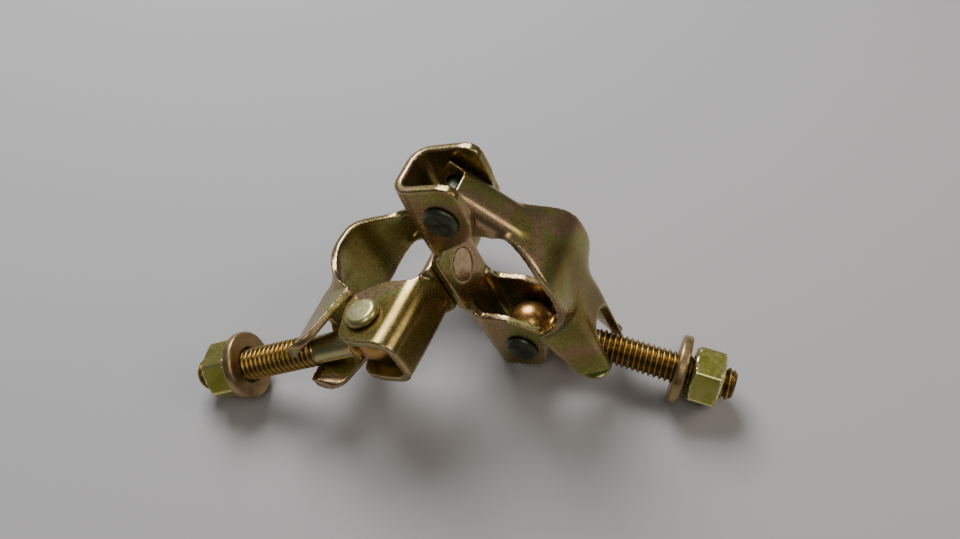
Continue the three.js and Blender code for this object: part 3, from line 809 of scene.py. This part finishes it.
# %% The chromate finish
def chromate(name, film, worn, pits, roughness, drift=22.0):
    """Colour = film colours by soft noise of `drift` millimetres, dulled by fine dark mottling,
    and mixed toward the worn colour at edges. Roughness and bump follow the same fine noise."""
    material = bpy.data.materials.new(name)
    material.use_nodes = True
    tree = material.node_tree
    tree.nodes.clear()
    place = add(tree, "ShaderNodeTexCoord").outputs["Object"]
    soft = add(tree, "ShaderNodeTexNoise", None,
               {"Scale": 1000 / drift, "Detail": 2.0, "Roughness": 0.4, "Distortion": 0.5},
               Vector=place)
    colours = add(tree, "ShaderNodeValToRGB", Fac=soft.outputs["Fac"])
    ramp(colours, film)
    crystal = add(tree, "ShaderNodeTexNoise", None,
                  {"Scale": 1000 / 1.4, "Detail": 2.0, "Roughness": 0.5}, Vector=place)
    mottling = add(tree, "ShaderNodeMapRange", None,
                   {"From Min": 0.36, "From Max": 0.6, "To Min": 0.2, "To Max": 0.0},
                   Value=crystal.outputs["Fac"])
    dulled = add(tree, "ShaderNodeMix", {"data_type": "RGBA", "blend_type": "MIX"},
                 {7: linear(pits)}, i0=mottling.outputs["Result"], i6=colours.outputs["Color"])
    edge = add(tree, "ShaderNodeAttribute", {"attribute_name": "edge"})
    broken = add(tree, "ShaderNodeTexNoise", None,
                 {"Scale": 1000 / 3.0, "Detail": 3.0}, Vector=place)
    patchy = add(tree, "ShaderNodeMapRange", None,
                 {"From Min": 0.3, "From Max": 0.6, "To Min": 0.25, "To Max": 0.85},
                 Value=broken.outputs["Fac"])
    rubbed = add(tree, "ShaderNodeMath", {"operation": "MULTIPLY"}, None,
                 i0=edge.outputs["Fac"], i1=patchy.outputs["Result"])
    colour = add(tree, "ShaderNodeMix", {"data_type": "RGBA", "blend_type": "MIX"},
                 {7: linear(worn)}, i0=rubbed.outputs["Value"], i6=dulled.outputs[2])
    gloss = add(tree, "ShaderNodeMapRange", None,
                {"From Min": 0.35, "From Max": 0.65, "To Min": roughness + 0.05,
                 "To Max": roughness - 0.04}, Value=crystal.outputs["Fac"])
    relief = add(tree, "ShaderNodeBump", None, {"Strength": 0.12, "Distance": 0.00005},
                 Height=crystal.outputs["Fac"])
    shader = add(tree, "ShaderNodeBsdfPrincipled", None, {"Metallic": 0.92})
    tree.links.new(colour.outputs[2], shader.inputs["Base Color"])
    tree.links.new(gloss.outputs["Result"], shader.inputs["Roughness"])
    tree.links.new(relief.outputs["Normal"], shader.inputs["Normal"])
    out = add(tree, "ShaderNodeOutputMaterial")
    tree.links.new(shader.outputs["BSDF"], out.inputs["Surface"])
    return material, colour, shader


plate, _, _ = chromate(
    "yellow_chromate_zinc",
    [(0.30, "74622C"), (0.40, "8B7A40"), (0.47, "93904E"), (0.54, "A98868"), (0.60, "94854A"),
     (0.68, "87904C")],
    "D2B48C", "54461F", 0.27, drift=38.0,
)
nut_finish, _, _ = chromate(
    "bright_green_chromate_zinc",
    [(0.32, "B4B048"), (0.48, "D0CC62"), (0.58, "DCD07A"), (0.68, "C4C45A")],
    "ECE6B8", "8A8436", 0.27, drift=14.0,
)
washer_finish, _, _ = chromate(
    "bronze_chromate_zinc",
    [(0.32, "6A5030"), (0.48, "8C7044"), (0.58, "A08054"), (0.68, "7C7440")],
    "C8B080", "3C2C18", 0.38, drift=12.0,
)
rivet_finish, _, _ = chromate(
    "dull_hammered_zinc",
    [(0.32, "3C3E34"), (0.48, "55584A"), (0.58, "66685A"), (0.68, "4A4C40")],
    "9A9A84", "22231C", 0.42, drift=8.0,
)
pan_finish, _, _ = chromate(
    "worn_yellow_chromate_zinc",
    [(0.32, "9A9444"), (0.48, "B8B060"), (0.58, "C4B878"), (0.68, "A8A458")],
    "E0D8B0", "6A6430", 0.34, drift=8.0,
)

# %% [markdown]
# ## The bolt's three zones
# Plating takes differently on the forged head, the drawn shank and the rolled thread. The head is
# coppery gold, the shank greenish silver, and the thread a rusty gold, with painted shade in the
# roots.
# Three materials would leave hard lines, so one material blends by the distance from the pin.


# %% The bolt's finish
def bolt_finish():
    """The chromate finish, with its colour multiplied by a ramp along the bolt and with painted
    shade in the thread's roots: darkened by the distance from the bolt's axis."""
    material, colour, shader = chromate(
        "coppery_plated_steel",
        [(0.32, "9E7038"), (0.46, "B08848"), (0.56, "C09A58"), (0.68, "A88A48")],
        "DCC088", "4A3416", 0.3, drift=10.0,
    )
    tree = material.node_tree
    along = add(tree, "ShaderNodeAttribute", {"attribute_name": "along"})
    where = add(tree, "ShaderNodeMapRange", None,
                {"From Min": 0.0, "From Max": BOLT_END_AT}, Value=along.outputs["Fac"])
    zones = add(tree, "ShaderNodeValToRGB", Fac=where.outputs["Result"])
    ramp(zones, [(0.10, "B98548"), (0.15, "B4B888"), (0.31, "B4B888"), (0.36, "A88A3E")])
    tinted = add(tree, "ShaderNodeMix", {"data_type": "RGBA", "blend_type": "MIX"},
                 {0: 0.6}, i6=colour.outputs[2], i7=zones.outputs["Color"])
    height = add(tree, "ShaderNodeAttribute", {"attribute_name": "height"})
    # Painted shade: the thread's roots are darkened up to 0.7, deepest at the root radius.
    painted_root_shade = add(tree, "ShaderNodeMapRange", None,
               {"From Min": THREAD_ROOT, "From Max": THREAD_CREST, "To Min": 0.7, "To Max": 0.0},
               Value=height.outputs["Fac"])
    on_thread = add(tree, "ShaderNodeMapRange", None,
                    {"From Min": THREAD_FROM, "From Max": THREAD_FROM + 2},
                    Value=along.outputs["Fac"])
    thread_root_shade = add(tree, "ShaderNodeMath", {"operation": "MULTIPLY"}, None,
               i0=painted_root_shade.outputs["Result"], i1=on_thread.outputs["Result"])
    # 4A3216 is the painted shade colour mixed into the thread's roots.
    final = add(tree, "ShaderNodeMix", {"data_type": "RGBA", "blend_type": "MIX"},
                {7: linear("4A3216")}, i0=thread_root_shade.outputs["Value"], i6=tinted.outputs[2])
    tree.links.new(final.outputs[2], shader.inputs["Base Color"])
    return material


thread_finish = bolt_finish()


# %% Give each piece its finish
def dress(pieces, material):
    """Puts one material on each piece."""
    for piece in pieces:
        piece.data.materials.clear()
        piece.data.materials.append(material)


dress([*bases, *caps, centre], plate)
dress(rivets, rivet_finish)
dress([yellow_rivet], pan_finish)
dress(bolts, thread_finish)
dress(washers, washer_finish)
dress(nuts, nut_finish)

# %% [markdown]
# ## Floor, light and camera
# The coupler lies on a pale matt floor. Metal shows what it reflects, so the light matters as much
# as the finish: a large soft window high behind and to the left, a weaker one from the right, and
# a dim grey room for the rest. A single strong lamp would give hard shadows and black steel.

# %% The floor
floor_mesh = bpy.data.meshes.new("floor")
size = 3.0
floor_mesh.from_pydata(
    [(-size, -size, 0), (size, -size, 0), (size, size, 0), (-size, size, 0)], [], [(0, 1, 2, 3)]
)
floor = bpy.data.objects.new("floor", floor_mesh)
bpy.context.scene.collection.objects.link(floor)
floor_finish = bpy.data.materials.new("pale_matt_floor")
floor_finish.use_nodes = True
floor_shader = floor_finish.node_tree.nodes["Principled BSDF"]
floor_shader.inputs["Base Color"].default_value = linear("AFACA9")
floor_shader.inputs["Roughness"].default_value = 0.85
floor_mesh.materials.append(floor_finish)


# %% Lights
def softbox(name, place, aim, width, power, colour="FFFFFF"):
    """A square area light at a place, facing the aim, of that width in metres and power in watts."""
    light = bpy.data.lights.new(name, "AREA")
    light.size, light.energy = width, power
    light.color = linear(colour)[:3]
    lamp = bpy.data.objects.new(name, light)
    lamp.location = place
    lamp.rotation_euler = (Vector(aim) - Vector(place)).to_track_quat("-Z", "Y").to_euler()
    bpy.context.scene.collection.objects.link(lamp)
    return lamp


softbox("window", (-0.42, 0.5, 0.75), (0, 0, 0.04), 0.55, 13.0, "F6F8FF")
softbox("second_window", (0.6, 0.15, 0.6), (0, 0, 0.04), 0.4, 1.8, "FFF6EC")
softbox("room_light", (0.2, -0.45, 0.95), (0, 0, 0.04), 0.35, 1.6, "FFFAF2")

world = bpy.data.worlds.new("grey_room")
world.use_nodes = True
world.node_tree.nodes["Background"].inputs["Color"].default_value = linear("B8BCC4")
world.node_tree.nodes["Background"].inputs["Strength"].default_value = 0.16
bpy.context.scene.world = world

# %% The camera
# It looks down at about 52 degrees, from a third of a metre away.
camera_data = bpy.data.cameras.new("camera")
camera_data.lens, camera_data.sensor_width = 30.55, 36.0
camera = bpy.data.objects.new("camera", camera_data)
right, up = Vector((0.93502, 0.34969, -0.05879)), Vector((-0.24203, 0.75054, 0.6149))
right.normalize()
back = right.cross(up).normalized()
up = back.cross(right)
turned = Matrix((right, up, back)).transposed().to_4x4()
camera.matrix_world = Matrix.Translation((0.08047, -0.16524, 0.28855)) @ turned
bpy.context.scene.collection.objects.link(camera)
bpy.context.scene.camera = camera
